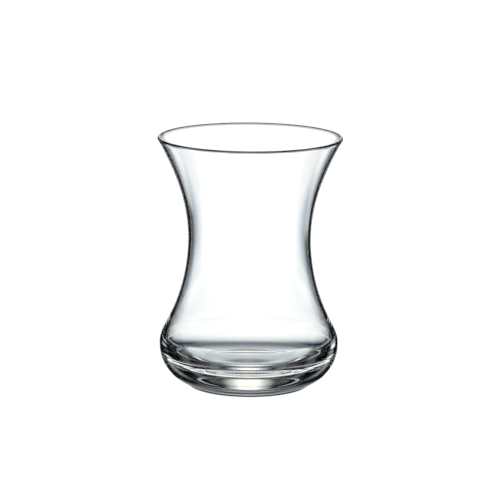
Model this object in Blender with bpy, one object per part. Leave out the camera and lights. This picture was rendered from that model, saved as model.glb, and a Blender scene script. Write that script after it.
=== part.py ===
"""A clear tulip-waisted tea glass, empty, standing upright on its foot.

Metres, +Z up. The foot rests on z = 0 and the glass is turned about the Z axis.
The whole glass is one solid: foot, heavy base, belly, waist and flared rim.
"""

import math

import bmesh
import bpy

# Outside, from the foot up: heights and radii.
HEIGHT = 0.0850
FOOT_R = 0.0180  # outer edge of the flat ring that the glass stands on
BELLY_Z, BELLY_R = 0.0146, 0.03035
SHOULDER_Z, SHOULDER_R = 0.0230, 0.02712
NECK_Z, NECK_R = 0.0350, 0.02273
WAIST_Z, WAIST_R = 0.0492, 0.02081
FLARE_Z, FLARE_R = 0.0640, 0.02265
LIP_Z, LIP_R = 0.0760, 0.02704
RIM_R = 0.0312  # widest point of the rounded rim
HEEL_ROUND_R, HEEL_ROUND_Z = 1.58, 2.34  # fullness of the heel, sideways and upwards

# Wall thickness, measured level, at the heights above.
WALL_BELLY = 0.0015
WALL_SHOULDER = 0.00118
WALL_WAIST = 0.00105
WALL_RIM = 0.0012

# Inside bottom: a flat-bellied bowl set on a heavy base.
BOWL_Z = 0.0168  # where the side wall turns into the bowl
FLOOR_Z = 0.0080  # lowest point of the inside
BOWL_ROUND_R, BOWL_ROUND_Z = 5.5, 1.88

# Underside: a shallow hollow inside the ring that the glass stands on.
HOLLOW_R = 0.0152
HOLLOW_RISE = 0.0010

# Mesh fineness.
AROUND = 60
STEPS_HEEL = 12
STEPS_SIDE = 24
STEPS_LIP = 4
STEPS_BOWL = 12
STEPS_HOLLOW = 5
STEP_GROWTH = 1.25  # the side's rings are closer together near the belly


def clear_scene():
    for obj in list(bpy.data.objects):
        bpy.data.objects.remove(obj)


def spline(knots, start_slope=None):
    """A smooth curve through (x, y) knots, as a function. The start slope is free or given; the far end is free."""
    n = len(knots)
    x = [k[0] for k in knots]
    y = [k[1] for k in knots]
    h = [x[i + 1] - x[i] for i in range(n - 1)]
    low, mid, up, rhs = [0.0] * n, [1.0] * n, [0.0] * n, [0.0] * n
    if start_slope is not None:
        mid[0], up[0] = 2 * h[0], h[0]
        rhs[0] = 6 * ((y[1] - y[0]) / h[0] - start_slope)
    for i in range(1, n - 1):
        low[i], mid[i], up[i] = h[i - 1], 2 * (h[i - 1] + h[i]), h[i]
        rhs[i] = 6 * ((y[i + 1] - y[i]) / h[i] - (y[i] - y[i - 1]) / h[i - 1])
    for i in range(1, n):
        share = low[i] / mid[i - 1]
        mid[i] -= share * up[i - 1]
        rhs[i] -= share * rhs[i - 1]
    bend = [0.0] * n
    bend[-1] = rhs[-1] / mid[-1]
    for i in range(n - 2, -1, -1):
        bend[i] = (rhs[i] - up[i] * bend[i + 1]) / mid[i]

    def at(value):
        i = 0
        while i < n - 2 and value > x[i + 1]:
            i += 1
        t = value - x[i]
        slope = (y[i + 1] - y[i]) / h[i] - h[i] * (2 * bend[i] + bend[i + 1]) / 6
        return y[i] + t * (slope + t * (bend[i] / 2 + t * (bend[i + 1] - bend[i]) / (6 * h[i])))

    return at


def quarter(r_from, z_from, r_to, z_to, round_r, round_z, steps):
    """Points of a full quarter curve that leaves (r_from, z_from) level and reaches (r_to, z_to) upright."""
    points = []
    for i in range(1, steps + 1):
        a = math.pi / 2 * i / steps
        points.append(
            (
                r_from + (r_to - r_from) * math.sin(a) ** (2 / round_r),
                z_to + (z_from - z_to) * math.cos(a) ** (2 / round_z),
            )
        )
    return points


side_radius = spline(
    [
        (BELLY_Z, BELLY_R),
        (SHOULDER_Z, SHOULDER_R),
        (NECK_Z, NECK_R),
        (WAIST_Z, WAIST_R),
        (FLARE_Z, FLARE_R),
        (LIP_Z, LIP_R),
        (HEIGHT - WALL_RIM / 2, RIM_R),
    ],
    start_slope=0.0,
)
wall = spline(
    [
        (BOWL_Z, WALL_BELLY),
        (SHOULDER_Z, WALL_SHOULDER),
        (WAIST_Z, WALL_WAIST),
        (HEIGHT, WALL_RIM),
    ]
)


def heel_radius(z):
    """Outer radius below the belly, at height z."""
    rise = min(max((BELLY_Z - z) / BELLY_Z, 0.0), 1.0)
    c = rise ** (HEEL_ROUND_Z / 2)
    return FOOT_R + (BELLY_R - FOOT_R) * math.sqrt(1 - c * c) ** (2 / HEEL_ROUND_R)


def outer_radius(z):
    return side_radius(z) if z >= BELLY_Z else heel_radius(z)


def inner_radius(z):
    return outer_radius(z) - wall(z)


def underside():
    """From the axis out to the edge of the foot: the shallow hollow, then the flat ring."""
    points = []
    for i in range(STEPS_HOLLOW + 1):
        r = HOLLOW_R * i / STEPS_HOLLOW
        points.append((r, HOLLOW_RISE * (1 - (r / HOLLOW_R) ** 2)))
    points.append((FOOT_R, 0.0))
    return points


def outside():
    lip_z = HEIGHT - WALL_RIM / 2
    points = quarter(FOOT_R, 0.0, BELLY_R, BELLY_Z, HEEL_ROUND_R, HEEL_ROUND_Z, STEPS_HEEL)
    for i in range(1, STEPS_SIDE + 1):
        z = BELLY_Z + (lip_z - BELLY_Z) * (i / STEPS_SIDE) ** STEP_GROWTH
        points.append((outer_radius(z), z))
    return points


def lip():
    """The fire-rounded rim, over the top of the wall."""
    lip_z = HEIGHT - WALL_RIM / 2
    middle = outer_radius(lip_z) - WALL_RIM / 2
    points = []
    for i in range(1, STEPS_LIP):
        a = math.pi * i / STEPS_LIP
        points.append(
            (middle + WALL_RIM / 2 * math.cos(a), lip_z + WALL_RIM / 2 * math.sin(a))
        )
    return points


def inside():
    lip_z = HEIGHT - WALL_RIM / 2
    points = [(outer_radius(lip_z) - WALL_RIM, lip_z)]
    for i in range(STEPS_SIDE - 1, -1, -1):
        z = BOWL_Z + (lip_z - BOWL_Z) * (i / STEPS_SIDE) ** STEP_GROWTH
        points.append((inner_radius(z), z))
    bowl = quarter(
        0.0, FLOOR_Z, inner_radius(BOWL_Z), BOWL_Z, BOWL_ROUND_R, BOWL_ROUND_Z, STEPS_BOWL
    )
    return points + bowl[-2::-1] + [(0.0, FLOOR_Z)]


def turned(name, profile, around):
    """The profile spun once about Z, as one closed mesh."""
    bm = bmesh.new()
    verts = [bm.verts.new((r, 0.0, z)) for r, z in profile]
    edges = [bm.edges.new(pair) for pair in zip(verts, verts[1:])]
    bmesh.ops.spin(
        bm,
        geom=verts + edges,
        cent=(0.0, 0.0, 0.0),
        axis=(0.0, 0.0, 1.0),
        angle=2 * math.pi,
        steps=around,
        use_merge=True,
    )
    bmesh.ops.remove_doubles(bm, verts=bm.verts, dist=1e-7)
    bmesh.ops.recalc_face_normals(bm, faces=bm.faces)
    for face in bm.faces:
        face.smooth = True
    mesh = bpy.data.meshes.new(name)
    bm.to_mesh(mesh)
    bm.free()
    obj = bpy.data.objects.new(name, mesh)
    bpy.context.scene.collection.objects.link(obj)
    return obj


def clear_glass():
    material = bpy.data.materials.new("clear_glass")
    material.use_nodes = True
    shader = material.node_tree.nodes["Principled BSDF"]
    shader.inputs["Base Color"].default_value = (0.97, 0.985, 0.98, 1.0)
    shader.inputs["Metallic"].default_value = 0.0
    shader.inputs["Roughness"].default_value = 0.02
    shader.inputs["IOR"].default_value = 1.52
    shader.inputs["Transmission Weight"].default_value = 1.0
    return material


clear_scene()
glass = turned("tea_glass", underside() + outside() + lip() + inside(), AROUND)
glass.data.materials.append(clear_glass())
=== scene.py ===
"""Looks for the tea glass: a fine mesh of the same body, clear soda-lime glass, a pale floor and soft studio light."""

import math

import bpy
import numpy as np
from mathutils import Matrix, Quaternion, Vector


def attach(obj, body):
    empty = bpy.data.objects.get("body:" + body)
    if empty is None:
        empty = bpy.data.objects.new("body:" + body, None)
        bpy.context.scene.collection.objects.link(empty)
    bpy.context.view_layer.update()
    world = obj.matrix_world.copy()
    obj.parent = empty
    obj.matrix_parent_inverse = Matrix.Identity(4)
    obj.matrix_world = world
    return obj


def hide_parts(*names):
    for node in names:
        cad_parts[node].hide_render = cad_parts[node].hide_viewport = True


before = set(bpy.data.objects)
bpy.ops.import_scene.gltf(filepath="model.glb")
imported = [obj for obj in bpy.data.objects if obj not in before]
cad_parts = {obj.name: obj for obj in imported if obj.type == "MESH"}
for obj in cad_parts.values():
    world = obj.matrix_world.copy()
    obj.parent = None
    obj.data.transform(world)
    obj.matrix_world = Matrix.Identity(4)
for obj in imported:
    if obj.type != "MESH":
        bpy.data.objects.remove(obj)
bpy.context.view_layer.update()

# ---------------------------------------------------------------- the glass
# The same named sizes as the solid, in metres.
HEIGHT = 0.0850
FOOT_R = 0.0180
BELLY_Z, BELLY_R = 0.0146, 0.03035
SHOULDER_Z, SHOULDER_R = 0.0230, 0.02712
NECK_Z, NECK_R = 0.0350, 0.02273
WAIST_Z, WAIST_R = 0.0492, 0.02081
FLARE_Z, FLARE_R = 0.0640, 0.02265
LIP_Z, LIP_R = 0.0760, 0.02704
RIM_R = 0.0312
HEEL_ROUND_R, HEEL_ROUND_Z = 1.58, 2.34
WALL_BELLY = 0.0015
WALL_SHOULDER = 0.00118
WALL_WAIST = 0.00105
WALL_RIM = 0.0012
BOWL_Z = 0.0168
FLOOR_Z = 0.0080
BOWL_ROUND_R, BOWL_ROUND_Z = 5.5, 1.88
HOLLOW_R = 0.0152
HOLLOW_RISE = 0.0010

# Fineness of the visible mesh.
AROUND = 240
STEPS_HOLLOW, STEPS_RING, STEPS_HEEL, STEPS_SIDE, STEPS_LIP, STEPS_BOWL = 24, 4, 60, 90, 12, 60


def spline(knots, start_slope=None):
    """A smooth curve through (x, y) knots, as a function. The start slope is free or given; the far end is free."""
    n = len(knots)
    x = [k[0] for k in knots]
    y = [k[1] for k in knots]
    h = [x[i + 1] - x[i] for i in range(n - 1)]
    low, mid, up, rhs = [0.0] * n, [1.0] * n, [0.0] * n, [0.0] * n
    if start_slope is not None:
        mid[0], up[0] = 2 * h[0], h[0]
        rhs[0] = 6 * ((y[1] - y[0]) / h[0] - start_slope)
    for i in range(1, n - 1):
        low[i], mid[i], up[i] = h[i - 1], 2 * (h[i - 1] + h[i]), h[i]
        rhs[i] = 6 * ((y[i + 1] - y[i]) / h[i] - (y[i] - y[i - 1]) / h[i - 1])
    for i in range(1, n):
        share = low[i] / mid[i - 1]
        mid[i] -= share * up[i - 1]
        rhs[i] -= share * rhs[i - 1]
    bend = [0.0] * n
    bend[-1] = rhs[-1] / mid[-1]
    for i in range(n - 2, -1, -1):
        bend[i] = (rhs[i] - up[i] * bend[i + 1]) / mid[i]

    def at(value):
        i = 0
        while i < n - 2 and value > x[i + 1]:
            i += 1
        t = value - x[i]
        slope = (y[i + 1] - y[i]) / h[i] - h[i] * (2 * bend[i] + bend[i + 1]) / 6
        return y[i] + t * (slope + t * (bend[i] / 2 + t * (bend[i + 1] - bend[i]) / (6 * h[i])))

    return at


side_radius = spline(
    [
        (BELLY_Z, BELLY_R),
        (SHOULDER_Z, SHOULDER_R),
        (NECK_Z, NECK_R),
        (WAIST_Z, WAIST_R),
        (FLARE_Z, FLARE_R),
        (LIP_Z, LIP_R),
        (HEIGHT - WALL_RIM / 2, RIM_R),
    ],
    start_slope=0.0,
)
wall = spline(
    [
        (BOWL_Z, WALL_BELLY),
        (SHOULDER_Z, WALL_SHOULDER),
        (WAIST_Z, WALL_WAIST),
        (HEIGHT, WALL_RIM),
    ]
)


def heel_radius(z):
    rise = min(max((BELLY_Z - z) / BELLY_Z, 0.0), 1.0)
    c = rise ** (HEEL_ROUND_Z / 2)
    return FOOT_R + (BELLY_R - FOOT_R) * math.sqrt(max(1 - c * c, 0.0)) ** (2 / HEEL_ROUND_R)


def outer_radius(z):
    return side_radius(z) if z >= BELLY_Z else heel_radius(z)


def inner_radius(z):
    return outer_radius(z) - wall(z)


def quarter(r_from, z_from, r_to, z_to, round_r, round_z, steps):
    """Points of a full quarter curve that leaves (r_from, z_from) level and reaches (r_to, z_to) upright."""
    points = []
    for i in range(1, steps + 1):
        a = math.pi / 2 * i / steps
        points.append(
            (
                r_from + (r_to - r_from) * math.sin(a) ** (2 / round_r),
                z_to + (z_from - z_to) * math.cos(a) ** (2 / round_z),
            )
        )
    return points


def profile():
    """The whole section, from the axis underneath, round the outside and over the rim, to the axis inside."""
    points = []
    for i in range(STEPS_HOLLOW + 1):
        r = HOLLOW_R * i / STEPS_HOLLOW
        points.append((r, HOLLOW_RISE * (1 - (r / HOLLOW_R) ** 2)))
    for i in range(1, STEPS_RING + 1):
        points.append((HOLLOW_R + (FOOT_R - HOLLOW_R) * i / STEPS_RING, 0.0))
    points += quarter(FOOT_R, 0.0, BELLY_R, BELLY_Z, HEEL_ROUND_R, HEEL_ROUND_Z, STEPS_HEEL)
    lip_z = HEIGHT - WALL_RIM / 2
    for i in range(1, STEPS_SIDE + 1):
        z = BELLY_Z + (lip_z - BELLY_Z) * i / STEPS_SIDE
        points.append((outer_radius(z), z))
    middle = outer_radius(lip_z) - WALL_RIM / 2
    for i in range(1, STEPS_LIP):
        a = math.pi * i / STEPS_LIP
        points.append((middle + WALL_RIM / 2 * math.cos(a), lip_z + WALL_RIM / 2 * math.sin(a)))
    points.append((outer_radius(lip_z) - WALL_RIM, lip_z))
    for i in range(STEPS_SIDE - 1, -1, -1):
        z = BOWL_Z + (lip_z - BOWL_Z) * i / STEPS_SIDE
        points.append((inner_radius(z), z))
    bowl = quarter(0.0, FLOOR_Z, inner_radius(BOWL_Z), BOWL_Z, BOWL_ROUND_R, BOWL_ROUND_Z, STEPS_BOWL)
    return points + bowl[-2::-1] + [(0.0, FLOOR_Z)]


def turned(name, section, around):
    """The section turned about Z, as one closed smooth mesh."""
    angles = np.arange(around) * 2 * math.pi / around
    cos, sin = np.cos(angles), np.sin(angles)
    verts, rings = [], []
    for r, z in section:
        start = len(verts)
        if r < 1e-9:
            verts.append((0.0, 0.0, z))
            rings.append([start] * around)
        else:
            verts += [(r * c, r * s, z) for c, s in zip(cos, sin)]
            rings.append(list(range(start, start + around)))
    faces = []
    for a, b in zip(rings, rings[1:]):
        for i in range(around):
            j = (i + 1) % around
            corner = []
            for v in (a[i], a[j], b[j], b[i]):
                if v not in corner:
                    corner.append(v)
            faces.append(corner)
    mesh = bpy.data.meshes.new(name)
    mesh.from_pydata(verts, [], faces)
    mesh.update()
    mesh.shade_smooth()
    obj = bpy.data.objects.new(name, mesh)
    bpy.context.scene.collection.objects.link(obj)
    return obj


class Nodes:
    """Small helper round a node tree."""

    def __init__(self, tree):
        self.tree = tree

    def new(self, kind, **settings):
        node = self.tree.nodes.new(kind)
        for key, value in settings.items():
            setattr(node, key, value)
        return node

    def put(self, socket, value):
        if isinstance(value, bpy.types.NodeSocket):
            self.tree.links.new(value, socket)
        else:
            socket.default_value = value

    def math(self, operation, a, b=None, clamp=False):
        node = self.new("ShaderNodeMath", operation=operation, use_clamp=clamp)
        self.put(node.inputs[0], a)
        if b is not None:
            self.put(node.inputs[1], b)
        return node.outputs[0]

    def soft_step(self, value, low, high, at_low=0.0, at_high=1.0):
        node = self.new("ShaderNodeMapRange", interpolation_type="SMOOTHSTEP", clamp=True)
        self.put(node.inputs["Value"], value)
        self.put(node.inputs["From Min"], low)
        self.put(node.inputs["From Max"], high)
        self.put(node.inputs["To Min"], at_low)
        self.put(node.inputs["To Max"], at_high)
        return node.outputs[0]

    def curve(self, value, points):
        """Straight lines between (x, colour) points, held flat beyond the ends."""
        low, high = points[0][0], points[-1][0]
        share = self.math("DIVIDE", self.math("SUBTRACT", value, low), high - low)
        node = self.new("ShaderNodeValToRGB")
        ramp = node.color_ramp
        ramp.interpolation = "LINEAR"
        ramp.elements[0].position, ramp.elements[1].position = 0.0, 1.0
        ramp.elements[0].color = (*points[0][1], 1.0)
        ramp.elements[1].color = (*points[-1][1], 1.0)
        for x, colour in points[1:-1]:
            ramp.elements.new((x - low) / (high - low)).color = (*colour, 1.0)
        self.put(node.inputs[0], share)
        return node.outputs[0]


PAINTED_LIP_SHADE_Z = (HEIGHT - 0.0010, HEIGHT - 0.0006)  # painted shade: the rounded lip is painted a little darker from here up, in place of the dark its inner reflections give
PAINTED_LIP_SHADE_COLOUR = (0.36, 0.38, 0.40, 1.0)


def clear_glass():
    """Clear soda-lime glass with a faint green-blue body colour that varies very slightly over the surface."""
    material = bpy.data.materials.new("clear_glass_look")
    material.use_nodes = True
    tree = material.node_tree
    nodes = Nodes(tree)
    shader = tree.nodes["Principled BSDF"]
    shader.inputs["Metallic"].default_value = 0.0
    shader.inputs["Roughness"].default_value = 0.0
    shader.inputs["IOR"].default_value = 1.52
    shader.inputs["Transmission Weight"].default_value = 1.0
    place = nodes.new("ShaderNodeTexCoord")
    drift = nodes.new("ShaderNodeTexNoise", noise_dimensions="3D")
    nodes.put(drift.inputs["Vector"], place.outputs["Object"])
    nodes.put(drift.inputs["Scale"], 38.0)
    nodes.put(drift.inputs["Detail"], 1.0)
    tint = nodes.curve(drift.outputs["Fac"], [(0.3, (0.975, 0.988, 0.99)), (0.7, (0.985, 0.994, 0.992))])
    split = nodes.new("ShaderNodeSeparateXYZ")
    nodes.put(split.inputs[0], place.outputs["Object"])
    # painted shade: the base colour of the rounded lip is multiplied darker
    painted_lip_shade = nodes.new("ShaderNodeMix", data_type="RGBA", blend_type="MULTIPLY")
    nodes.put(painted_lip_shade.inputs[0], nodes.soft_step(split.outputs[2], *PAINTED_LIP_SHADE_Z))
    nodes.put(painted_lip_shade.inputs[6], tint)
    nodes.put(painted_lip_shade.inputs[7], PAINTED_LIP_SHADE_COLOUR)
    nodes.put(shader.inputs["Base Color"], painted_lip_shade.outputs[2])
    return material


glass = turned("glass_body", profile(), AROUND)
glass.data.materials.append(clear_glass())
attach(glass, "root")
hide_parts("tea_glass")


# ---------------------------------------------------------------- the floor
FLOOR_SIZE = 3.0
# The floor as the glass bends it into view, as painted light and shade: open and painted bright some way behind the
# glass (FLOOR_BACK, by radius), and painted as lit through the glass, with painted shade, under and round the foot
# (FLOOR_FOOT, by depth behind the axis).
FLOOR_BACK = (
    (0.0235, 0.00),
    (0.0258, 0.04),
    (0.0272, 0.18),
    (0.0292, 0.50),
    (0.0312, 0.84),
    (0.035, 1.08),
    (0.041, 1.25),
)
FLOOR_BACK_WIDE = 0.6  # the bright part is this much straighter than a circle round the axis
FLOOR_BACK_SIDE = (0.0265, 0.0310)  # fades between these distances left and right of the axis
FLOOR_BACK_FROM = (0.006, 0.014)  # and between these depths behind the axis
FLOOR_FOOT = (
    (-0.030, 0.36),
    (-0.0212, 0.36),
    (-0.0202, 0.30),
    (-0.0185, 0.60),
    (-0.010, 0.50),
    (-0.005, 0.62),
    (-0.001, 0.80),
    (0.004, 1.00),
    (0.009, 0.90),
    (0.014, 0.50),
    (0.017, 0.36),
    (0.020, 0.10),
    (0.023, 0.00),
)
FLOOR_FOOT_EDGE = (0.0230, 0.0265)
FLOOR_SHADE = (-0.0132, 0.0095, 0.0046, 0.82)  # a soft painted shade spot in front of the axis: depth, half sizes, strength
FLOOR_OPEN = (0.060, 0.070)  # beyond the lit part the surroundings show
FLOOR_UNDER = (0.0265, 0.0310)  # and so they do beyond this distance on the other sides
PAINTED_CONTACT_SHADOW = (0.0198, 0.0210, 0.02)  # a painted contact shadow: a thin dark line on the floor, seen by the camera, where the foot meets the floor


def pale_floor():
    """White to the camera. To light that has passed the glass it glows with painted light, and painted shade round the
    foot.
    """
    material = bpy.data.materials.new("pale_floor")
    material.use_nodes = True
    tree = material.node_tree
    tree.nodes.clear()
    nodes = Nodes(tree)
    place = nodes.new("ShaderNodeTexCoord")
    split = nodes.new("ShaderNodeSeparateXYZ")
    nodes.put(split.inputs[0], place.outputs["Object"])
    x, y = split.outputs[0], split.outputs[1]

    def distance(a, b):
        return nodes.math("SQRT", nodes.math("ADD", nodes.math("MULTIPLY", a, a), nodes.math("MULTIPLY", b, b)))

    radius = distance(x, y)

    # painted light and shade on the floor: the darker the painted shade, the cooler its tint
    def lit(value, table):
        cool = [(a, max(0.0, min(1.0, (1.0 - v) / 0.5)), v) for a, v in table]
        return nodes.curve(value, [(a, (v * (1 - 0.14 * c), v * (1 - 0.03 * c) + 0.012 * c, v * (1 + 0.05 * c) + 0.03 * c)) for a, c, v in cool])

    near = nodes.new("ShaderNodeAddShader")
    side = nodes.soft_step(nodes.math("ABSOLUTE", x), *FLOOR_BACK_SIDE, 1.0, 0.0)
    behind = nodes.math("MULTIPLY", side, nodes.soft_step(y, *FLOOR_BACK_FROM))
    lit_part = nodes.math("MULTIPLY", behind, nodes.soft_step(radius, *FLOOR_OPEN, 1.0, 0.0))
    covered = nodes.math("MAXIMUM", lit_part, nodes.soft_step(radius, *FLOOR_UNDER, 1.0, 0.0))
    share = nodes.math("DIVIDE", lit_part, nodes.math("MAXIMUM", covered, 0.001))
    back = lit(distance(nodes.math("MULTIPLY", x, FLOOR_BACK_WIDE), y), FLOOR_BACK), share
    # painted shade spot on the floor in front of the axis
    depth, half_x, half_y, strength = FLOOR_SHADE
    off_x = nodes.math("POWER", nodes.math("ABSOLUTE", nodes.math("DIVIDE", x, half_x)), 2.0)
    off_y = nodes.math("POWER", nodes.math("ABSOLUTE", nodes.math("DIVIDE", nodes.math("SUBTRACT", y, depth), half_y)), 2.0)
    shade = nodes.soft_step(nodes.math("ADD", off_x, off_y), 0.2, 1.3, 1.0 - strength, 1.0)
    edge = nodes.soft_step(radius, *FLOOR_FOOT_EDGE, 1.0, 0.0)
    foot = lit(y, FLOOR_FOOT), nodes.math("MULTIPLY", edge, shade)
    # the painted light and shade glow as emission
    for socket, (colour, strength) in zip(near.inputs, (back, foot)):
        part = nodes.new("ShaderNodeEmission")
        nodes.put(part.inputs[0], colour)
        nodes.put(part.inputs[1], strength)
        nodes.put(socket, part.outputs[0])
    open_air = nodes.new("ShaderNodeBsdfTransparent")
    under = nodes.new("ShaderNodeMixShader")
    nodes.put(under.inputs[0], covered)
    nodes.put(under.inputs[1], open_air.outputs[0])
    nodes.put(under.inputs[2], near.outputs[0])
    # painted contact shadow round the foot, seen by the camera
    seen = nodes.new("ShaderNodeEmission")
    nodes.put(seen.inputs[1], nodes.soft_step(radius, PAINTED_CONTACT_SHADOW[0], PAINTED_CONTACT_SHADOW[1], PAINTED_CONTACT_SHADOW[2], 1.05))
    ray = nodes.new("ShaderNodeLightPath")
    both = nodes.new("ShaderNodeMixShader")
    nodes.put(both.inputs[0], ray.outputs["Is Camera Ray"])
    nodes.put(both.inputs[1], under.outputs[0])
    nodes.put(both.inputs[2], seen.outputs[0])
    out = nodes.new("ShaderNodeOutputMaterial")
    nodes.put(out.inputs[0], both.outputs[0])
    return material


half = FLOOR_SIZE / 2
floor_mesh = bpy.data.meshes.new("floor")
floor_mesh.from_pydata(
    [(-half, -half, 0), (half, -half, 0), (half, half, 0), (-half, half, 0)], [], [(0, 1, 2, 3)]
)
floor = bpy.data.objects.new("floor", floor_mesh)
floor.location.z = -0.00005
bpy.context.scene.collection.objects.link(floor)
floor_mesh.materials.append(pale_floor())


# ---------------------------------------------------------------- the studio
# A tall soft panel stands behind the glass in dark surroundings, and a wide soft light hangs overhead.
# Azimuths in degrees from +Y towards +X, elevations in degrees.
WHITE, COOL, WARM = (1.0, 1.0, 1.0), (0.93, 0.99, 1.05), (1.0, 0.985, 0.95)
MAIN_PANEL = (
    (0.0, 1.25, WHITE),
    (5.0, 1.25, WHITE),
    (6.4, 1.05, COOL),
    (7.8, 0.84, COOL),
    (8.7, 0.70, COOL),
    (10.0, 0.58, COOL),
    (11.8, 0.34, COOL),
    (14.6, 0.05, COOL),
    (17.0, 0.0, COOL),
)
PANEL_TOP = (30.0, 35.5)
FLOOR_END = (-33.0, -20.5, 0.02)  # below these elevations the lit part of the floor comes to its end
PANEL_WARM = (16.5, 18.5)  # the tint turns warm between these elevations
SIDE_PANELS = (  # middle, and where the lower and the upper end fade
    (-45.0, (-62.0, -52.0), (-23.0, -18.0)),
    (-90.0, (-62.0, -52.0), (0.0, 4.0)),
    (135.0, (-62.0, -52.0), (-12.0, -8.0)),
    (45.0, (-62.0, -52.0), (-16.0, -10.0)),
    (90.0, (-62.0, -52.0), (-5.0, 0.0)),
    (180.0, (-62.0, -52.0), (-5.0, 0.0)),
    (-135.0, (-62.0, -52.0), (-14.0, -9.0)),
)
SIDE_PANEL = ((0.0, 1.25, WHITE), (4.0, 1.25, WHITE), (6.5, 0.75, COOL), (9.0, 0.34, COOL), (12.0, 0.0, COOL))
HIGH_PANEL = ((0.0, 0.0, COOL), (34.0, 0.0, COOL), (39.0, 0.35, COOL), (50.0, 0.45, COOL), (58.0, 0.2, COOL), (64.0, 0.0, COOL))
HIGH_PANEL_SIDE = (18.0, 32.0)
LOW_PANEL = ((16.0, 0.0, COOL), (20.0, 0.25, COOL), (28.0, 0.42, COOL), (38.0, 0.42, COOL), (46.0, 0.0, COOL))
LOW_PANEL_RISE = (3.0, 6.0, 14.0, 20.0)
OVERHEAD = ((0.0, 0.0, WARM), (50.0, 0.0, WARM), (56.0, 0.22, WARM), (66.0, 0.40, WARM), (76.0, 0.60, WARM), (90.0, 0.60, WARM))
OVERHEAD_FROM = (-0.25, 0.08)
AMBIENT = 0.006


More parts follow.
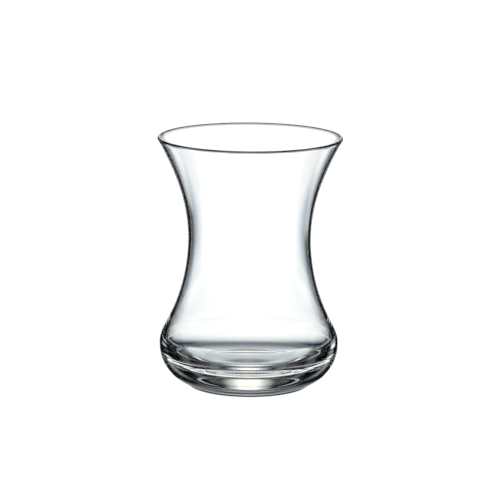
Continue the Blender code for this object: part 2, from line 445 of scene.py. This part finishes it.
def studio():
    world = bpy.data.worlds.new("studio")
    bpy.context.scene.world = world
    world.use_nodes = True
    tree = world.node_tree
    tree.nodes.clear()
    nodes = Nodes(tree)
    place = nodes.new("ShaderNodeTexCoord")
    split = nodes.new("ShaderNodeSeparateXYZ")
    nodes.put(split.inputs[0], place.outputs["Generated"])
    x, y, z = split.outputs
    azimuth = nodes.math("MULTIPLY", nodes.math("ARCTAN2", x, y), 180 / math.pi)
    elevation = nodes.math("MULTIPLY", nodes.math("ARCSINE", z), 180 / math.pi)
    lights = []

    def steps(value, table):
        return nodes.curve(value, [(a, tuple(v * t for t in tint)) for a, v, tint in table])

    def glow(colour, strength):
        shader = nodes.new("ShaderNodeBackground")
        nodes.put(shader.inputs[0], colour)
        nodes.put(shader.inputs[1], strength)
        lights.append(shader.outputs[0])

    def off_centre(centre):
        away = nodes.math("WRAP", nodes.math("SUBTRACT", azimuth, centre), 180.0)
        away.node.inputs[2].default_value = -180.0
        return nodes.math("ABSOLUTE", away)

    low = nodes.soft_step(elevation, *FLOOR_END[:2], FLOOR_END[2], 1.0)
    upright = nodes.math("MULTIPLY", nodes.soft_step(elevation, *PANEL_TOP, 1.0, 0.0), low)
    warmth = nodes.new("ShaderNodeMix", data_type="RGBA")
    nodes.put(warmth.inputs[0], nodes.soft_step(elevation, *PANEL_WARM))
    nodes.put(warmth.inputs[6], (1.0, 1.0, 1.0, 1.0))
    nodes.put(warmth.inputs[7], (1.0, 0.95, 0.84, 1.0))
    panel = nodes.new("ShaderNodeMix", data_type="RGBA", blend_type="MULTIPLY")
    nodes.put(panel.inputs[0], 1.0)
    nodes.put(panel.inputs[6], steps(off_centre(0.0), MAIN_PANEL))
    nodes.put(panel.inputs[7], warmth.outputs[2])
    glow(panel.outputs[2], upright)
    for centre, foot, top in SIDE_PANELS:
        height = nodes.soft_step(elevation, *foot), nodes.soft_step(elevation, *top, 1.0, 0.0)
        glow(steps(off_centre(centre), SIDE_PANEL), nodes.math("MULTIPLY", *height))
    glow(steps(elevation, OVERHEAD), nodes.soft_step(y, *OVERHEAD_FROM))
    glow(steps(elevation, HIGH_PANEL), nodes.soft_step(off_centre(0.0), *HIGH_PANEL_SIDE, 1.0, 0.0))
    rise = nodes.soft_step(elevation, *LOW_PANEL_RISE[:2]), nodes.soft_step(elevation, *LOW_PANEL_RISE[2:], 1.0, 0.0)
    glow(steps(off_centre(0.0), LOW_PANEL), nodes.math("MULTIPLY", *rise))
    glow((0.8, 0.92, 1.0, 1.0), AMBIENT)
    light = lights[0]
    for other in lights[1:]:
        add = nodes.new("ShaderNodeAddShader")
        nodes.put(add.inputs[0], light)
        nodes.put(add.inputs[1], other)
        light = add.outputs[0]
    backdrop = nodes.new("ShaderNodeBackground")
    nodes.put(backdrop.inputs[0], (1.0, 1.0, 1.0, 1.0))
    nodes.put(backdrop.inputs[1], 1.05)
    ray = nodes.new("ShaderNodeLightPath")
    both = nodes.new("ShaderNodeMixShader")
    nodes.put(both.inputs[0], ray.outputs["Is Camera Ray"])
    nodes.put(both.inputs[1], light)
    nodes.put(both.inputs[2], backdrop.outputs[0])
    out = nodes.new("ShaderNodeOutputWorld")
    nodes.put(out.inputs[0], both.outputs[0])


studio()

# ---------------------------------------------------------------- the camera
IMAGE = 501  # pixels, both ways
CAM_ELEVATION = 11.511  # degrees
CAM_DISTANCE = 1.0
CAM_FOCUS = 2952.2  # pixels
AIM_X, AIM_Y = 249.4, 260.38  # where the middle of the axis falls
CAM_ROLL = 0.45


def camera():
    data = bpy.data.cameras.new("camera")
    data.sensor_width = 36.0
    data.lens = 36.0 * CAM_FOCUS / IMAGE
    data.clip_start, data.clip_end = 0.01, 100.0
    obj = bpy.data.objects.new("camera", data)
    bpy.context.scene.collection.objects.link(obj)
    e = math.radians(CAM_ELEVATION)
    obj.location = (0.0, -CAM_DISTANCE * math.cos(e), HEIGHT / 2 + CAM_DISTANCE * math.sin(e))
    turn = Vector((0.0, math.cos(e), -math.sin(e))).to_track_quat("-Z", "Y")
    turn = turn @ Quaternion((1, 0, 0), math.atan((AIM_Y - IMAGE / 2) / CAM_FOCUS))
    turn = turn @ Quaternion((0, 1, 0), math.atan((AIM_X - IMAGE / 2) / CAM_FOCUS))
    turn = turn @ Quaternion((0, 0, 1), math.radians(CAM_ROLL))
    obj.rotation_mode = "QUATERNION"
    obj.rotation_quaternion = turn
    bpy.context.scene.camera = obj


camera()

scene = bpy.context.scene
scene.view_settings.view_transform = "Standard"
scene.view_settings.look = "None"
scene.cycles.max_bounces = 24
scene.cycles.transmission_bounces = 24
scene.cycles.glossy_bounces = 16
scene.cycles.transparent_max_bounces = 16
scene.cycles.caustics_reflective = True
scene.cycles.caustics_refractive = True
scene.cycles.blur_glossy = 0.0
scene.cycles.sample_clamp_indirect = 0.0
